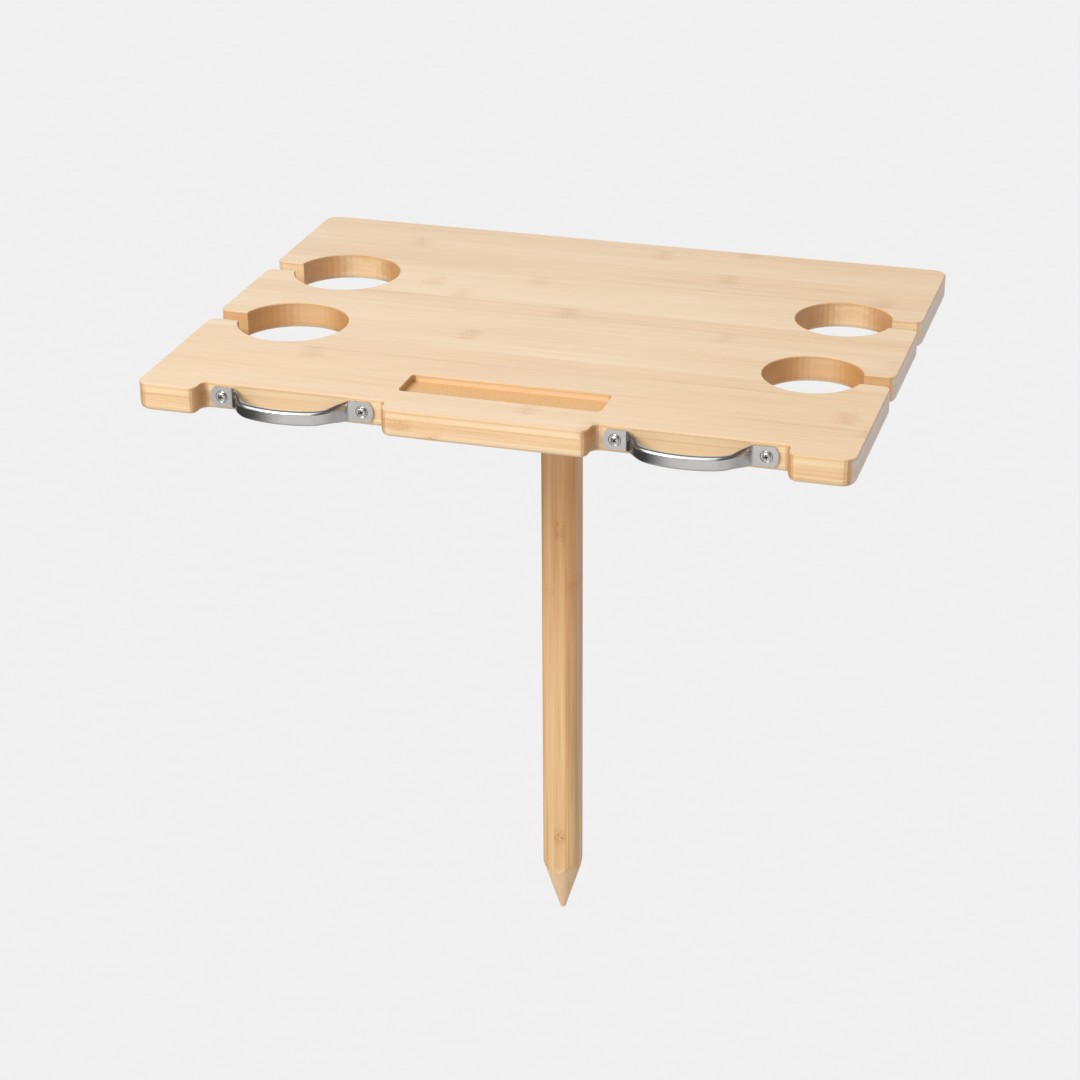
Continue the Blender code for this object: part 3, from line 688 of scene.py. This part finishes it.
def screw_mesh(name, head, length):
    """A wood screw along -Z with a cross recess; head lists (radius, z) from its middle to its neck."""
    rows = [ring(lambda angle, r=radius: r, z, SCREW_STEPS) for radius, z in head]
    neck = head[-1][1]
    threaded_from = neck - SCREW_NECK
    rows.append(ring(lambda angle: SCREW_SHANK, neck, SCREW_STEPS))
    rows.append(ring(lambda angle: SCREW_SHANK, threaded_from, SCREW_STEPS))
    z = threaded_from
    while z > -length + 0.3 * MM:
        z -= SCREW_PITCH / 6
        taper = min(1, (z + length) / (4 * MM))
        grown = min(1, (threaded_from - z) / (1 * MM))

        def radius_at(angle, z=z, taper=taper, grown=grown):
            root = SCREW_ROOT + (SCREW_SHANK - SCREW_ROOT) * (1 - grown)
            return max(0.15 * MM, thread_radius(angle, z, root, SCREW_CREST, SCREW_PITCH) * taper)

        rows.append(ring(radius_at, z, SCREW_STEPS))
    screw = new_object(name, grid_mesh(name, [list(reversed(row)) for row in rows], closed=True, caps=True))
    # The cross narrows from its mouth to its floor
    inner = RECESS_HALF * 1.3
    arm = ((RECESS_ARM, -RECESS_HALF), (RECESS_ARM, RECESS_HALF), (inner, inner))
    arms = []
    for scale, z in ((0.5, -RECESS_DEPTH), (0.86, -0.3 * MM), (1.04, 0.5 * MM)):
        row = []
        for quarter in range(4):
            turn = Matrix.Rotation(math.radians(90 * quarter), 3, "Z")
            for x, y in arm:
                point = turn @ Vector((x * scale, y * scale, 0))
                row.append((point.x, point.y, z))
        arms.append(row)
    cross = new_object("cross_cutter", grid_mesh("cross_cutter", arms, closed=True, caps=True))
    subtract(screw, cross)
    return baked(screw, [cross], 40)


def bolt_mesh(top, below):
    """The hanger bolt from its machine thread's end down to its wood thread's point."""
    rows = []
    z = top
    while z > -below:
        if z > 0:
            chamfer = min(1, 0.8 + 0.2 * (top - z) / (1 * MM))
            run_out = min(1, z / (1.2 * MM))

            def radius_at(angle, z=z, chamfer=chamfer, run_out=run_out):
                cut_to = BOLT_CREST - (BOLT_CREST - BOLT_ROOT) * run_out
                return thread_radius(angle, z, cut_to, BOLT_CREST, BOLT_PITCH) * chamfer

            step = BOLT_PITCH / 8
        else:
            taper = min(1, 0.2 + 0.8 * (z + below) / (6 * MM))
            grown = min(1, max(0, (-z - 3 * MM) / (2 * MM)))

            def radius_at(angle, z=z, taper=taper, grown=grown):
                crest = BOLT_ROOT + (BOLT_CREST - BOLT_ROOT) * grown
                root = BOLT_ROOT - 0.5 * MM * grown
                return thread_radius(angle, z, root, crest, BOLT_WOOD_PITCH) * taper

            step = BOLT_WOOD_PITCH / 10
        rows.append(ring(radius_at, z, BOLT_STEPS))
        z -= step
    mesh = grid_mesh("bolt", [list(reversed(row)) for row in rows], closed=True, caps=True)
    mesh.shade_smooth()
    mesh.set_sharp_from_angle(angle=math.radians(40))
    return mesh


def pan_head():
    """From the middle of a flattish dome out to the rim and back under it."""
    head = []
    for step in range(1, 13):
        angle = math.radians(90 * step / 12)
        head.append((HEAD_RADIUS * math.sin(angle) ** 0.8, -HEAD_DOME * (1 - math.cos(angle))))
    head += [(HEAD_RADIUS, -HEAD_HEIGHT + 0.1 * MM), (HEAD_RADIUS - 0.1 * MM, -HEAD_HEIGHT)]
    return head


def make_straps(material):
    mesh = strap_mesh()
    mesh.materials.append(material)
    for node in ("handle_left", "handle_right"):
        low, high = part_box(node)
        place = ((low.x + high.x) / 2, high.y - STRAP_THICKNESS, (low.z + high.z) / 2)
        attach(node + "_strap", mesh, node, "table_top", place)


def make_handle_screws(material):
    low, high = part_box("handle_screw_1")
    mesh = screw_mesh("pan_screw", pan_head(), high.y - low.y)
    mesh.materials.append(material)
    for i in range(1, 5):
        low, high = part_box(f"handle_screw_{i}")
        place = ((low.x + high.x) / 2, low.y, (low.z + high.z) / 2)
        turn = (math.radians(90), math.radians(SCREW_TURNS[i - 1]), 0)
        attach(f"pan_screw_{i}", mesh, f"handle_screw_{i}", "table_top", place, turn)


def make_plate_screws(material):
    low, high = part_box("plate_screw_1")
    mesh = screw_mesh("sunk_screw", SUNK_HEAD, high.z - low.z)
    mesh.materials.append(material)
    for i in range(1, 5):
        low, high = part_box(f"plate_screw_{i}")
        place = ((low.x + high.x) / 2, (low.y + high.y) / 2, low.z)
        turn = (math.radians(180), 0, math.radians(SCREW_TURNS[i - 1]))
        attach(f"sunk_screw_{i}", mesh, f"plate_screw_{i}", "table_top", place, turn)


def make_bolt(material):
    low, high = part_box("hanger_bolt")
    mesh = bolt_mesh(high.z - STAKE_HIGH.z, STAKE_HIGH.z - low.z)
    mesh.materials.append(material)
    attach("threaded_bolt", mesh, "hanger_bolt", "stake", (0, 0, STAKE_HIGH.z))


# ---------------------------------------------------------------- stage


def make_floor():
    """A pale floor that only the camera sees; the light from below comes from the world."""
    shader = Shader("pale_floor")
    grit = shader.noise(shader.object_place(), 40, 4, 0.6)
    shade = shader.between(grit, 0.2, 0.8, 0.985, 1.0)
    shader.set(Base_Color=(0.01, 0.01, 0.01, 1), Roughness=0.9, Specular_IOR_Level=0)
    shader.set(Emission_Color=(1, 1, 1, 1))
    shader.set(Emission_Strength=shader.times(shade, FLOOR_GLOW))
    mesh = bpy.data.meshes.new("floor")
    corners = [(x * FLOOR_HALF, y * FLOOR_HALF, 0) for x, y in ((-1, -1), (1, -1), (1, 1), (-1, 1))]
    mesh.from_pydata(corners, [], [(0, 1, 2, 3)])
    mesh.materials.append(shader.material)
    floor = new_object("floor", mesh)
    floor.location = (0, 0, STAKE_LOW.z - FLOOR_GAP)
    floor.visible_diffuse = False
    floor.visible_glossy = False


def add_key():
    """One large soft lamp at the upper left, in front."""
    light = bpy.data.lights.new("key", "AREA")
    light.shape = "SQUARE"
    light.size = KEY_SIZE
    light.energy = KEY_POWER
    lamp = new_object("key", light)
    lamp.location = KEY_PLACE
    lamp.rotation_euler = (KEY_TARGET - KEY_PLACE).to_track_quat("-Z", "Y").to_euler()


def make_light():
    """A bright room, brightest low in front; the steel mirrors it dim at the lower left."""
    world = bpy.data.worlds.new("studio")
    world.use_nodes = True
    tree = Tree(world.node_tree)
    x, y, z = tree.split(tree.node("ShaderNodeTexCoord", {}).outputs["Generated"])
    path = tree.node("ShaderNodeLightPath", {}).outputs
    seen, mirrored = path["Is Camera Ray"], path["Is Glossy Ray"]
    above = tree.between(z, 0.0, 0.8, SKY_LOW, SKY_HIGH)
    above = tree.math("MULTIPLY_ADD", y, SKY_BACK, above)
    # What the steel mirrors above: a long light over the front, and a dim ceiling behind it
    strip = tree.times(tree.between(z, 0.16, 0.30), tree.between(y, 0.20, -0.10))
    strip = tree.times(strip, tree.times(tree.between(x, 0.48, 0.12), tree.between(x, -0.96, -0.78)))
    ceiling = tree.add(tree.between(z, 0.0, 0.2, 0.7, CEILING), tree.times(strip, STRIP_LIGHT))
    front = tree.times(tree.between(y, 0.80, 0.60), mirrored)
    above = tree.math("MULTIPLY_ADD", tree.math("SUBTRACT", ceiling, above), front, above)
    ahead = tree.math("MAXIMUM", tree.times(y, -1), 0)
    below = tree.math("MULTIPLY_ADD", ahead, GROUND_FRONT, GROUND_MIDDLE)
    dark = tree.times(tree.between(x, -0.3, -0.75), tree.times(mirrored, 1 - GROUND_LEFT))
    below = tree.times(below, tree.math("SUBTRACT", 1, dark))
    side = tree.between(z, -0.12, 0.12)
    room = tree.add(tree.times(above, side), tree.times(below, tree.math("SUBTRACT", 1, side)))
    backdrop = tree.times(seen, FLOOR_GLOW)
    room = tree.math("MULTIPLY_ADD", room, tree.math("SUBTRACT", 1, seen), backdrop)
    sky = world.node_tree.nodes["Background"]
    sky.inputs["Color"].default_value = (1, 1, 1, 1)
    tree.put(sky.inputs["Strength"], room)
    bpy.context.scene.world = world


def make_camera():
    lens = bpy.data.cameras.new("camera")
    lens.sensor_width = SENSOR_WIDTH
    lens.lens = CAMERA_LENS
    camera = new_object("camera", lens)
    level = math.cos(CAMERA_TILT)
    ahead = Vector((-math.sin(CAMERA_TURN) * level, math.cos(CAMERA_TURN) * level, -math.sin(CAMERA_TILT)))
    right = Vector((math.cos(CAMERA_TURN), math.sin(CAMERA_TURN), 0))
    up = right.cross(ahead)
    rolled_right = right * math.cos(CAMERA_ROLL) + up * math.sin(CAMERA_ROLL)
    rolled_up = up * math.cos(CAMERA_ROLL) - right * math.sin(CAMERA_ROLL)
    turn = Matrix((rolled_right, rolled_up, -ahead)).transposed()
    camera.matrix_world = Matrix.Translation(CAMERA_PLACE) @ turn.to_4x4()
    bpy.context.scene.camera = camera


# ---------------------------------------------------------------- the object


def make_looks():
    """Dresses the CAD nodes that stay, then sets the fine metal pieces in the others' places."""
    board = board_material()
    stake = stake_material()
    strap = steel("strap_steel", STRAP_GREY, rough=0.17, brushing=0.25, spread=0.05)
    screws = steel("screw_steel", SCREW_GREY, rough=0.26, brushing=0.2, spread=0.06, recessed=True)
    zinc = steel("zinc_steel", ZINC_GREY, rough=0.36, brushing=0.8, spread=0.2)
    dress("table_top", board)
    dress("stake", stake)
    for node in ("threaded_plate", "stop_washer"):
        dress(node, zinc)
    make_straps(strap)
    make_handle_screws(screws)
    make_plate_screws(zinc)
    make_bolt(zinc)


bpy.context.scene.view_settings.view_transform = "Standard"
make_camera()
make_light()
add_key()
make_floor()
make_looks()
